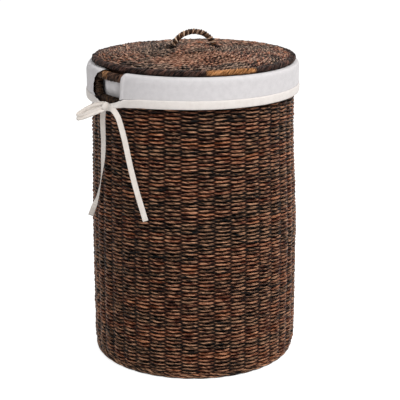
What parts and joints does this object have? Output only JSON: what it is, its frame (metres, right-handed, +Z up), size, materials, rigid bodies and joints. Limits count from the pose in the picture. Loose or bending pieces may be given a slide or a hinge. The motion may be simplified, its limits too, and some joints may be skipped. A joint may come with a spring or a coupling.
{
  "type": "laundry basket woven",
  "caption": "Tall round woven rattan laundry hamper with wrapped hand-holes, a tied cotton liner and a woven lift-off lid.",
  "frame": {"origin": "centre of the underside, on the floor", "axes": "+Z up along the basket's axis, -X towards the hand-hole and slot where the liner's tapes are tied"},
  "size_m": [0.4594, 0.4154, 0.6421],
  "materials": {
    "woven_strand": "satin",
    "lid_strand": "satin",
    "rattan_rod": "satin",
    "rim_whipping": "satin",
    "foot_whipping": "satin",
    "bar_whipping": "satin",
    "lid_whipping": "satin",
    "handle_whipping": "satin",
    "cotton_liner": "matte",
    "cotton_hem": "matte",
    "cotton_tape": "matte"
  },
  "bodies": {
    "basket": {"foot_border": "foot_whipping", "base_spokes": "rattan_rod", "base_weave": "woven_strand", "wall_stakes": "rattan_rod", "wall_weave": "woven_strand", "hand_band_front": "woven_strand", "hand_band_back": "woven_strand", "rim_hoop": "rattan_rod", "rim_binding": "rim_whipping", "hand_hole_rods": "rattan_rod", "hand_hole_bar_left": "bar_whipping", "hand_hole_bar_right": "bar_whipping"},
    "liner": {"liner_bottom": "cotton_liner", "liner_side": "cotton_liner", "liner_cuff": "cotton_liner", "cuff_hem": "cotton_hem", "drawstring": "cotton_tape", "tie_lead_front": "cotton_tape", "tie_lead_back": "cotton_tape", "tie_knot": "cotton_tape", "bow_loop": "cotton_tape", "tie_tail_front": "cotton_tape", "tie_tail_back": "cotton_tape"},
    "lid": {"lid_hoop": "rattan_rod", "lid_binding": "lid_whipping", "lid_spokes": "rattan_rod", "lid_weave": "lid_strand", "locating_ring": "rattan_rod", "handle_rod": "rattan_rod", "handle_wrap": "handle_whipping", "handle_lashings": "bar_whipping"}
  },
  "joints": [
    {"name": "liner_lift", "type": "slide", "parent": "basket", "child": "liner", "axis": [0, 0, 1], "range_m": [0, 0.6]},
    {"name": "lid_lift", "type": "slide", "parent": "liner", "child": "lid", "axis": [0, 0, 1], "range_m": [0, 0.3]}
  ]
}
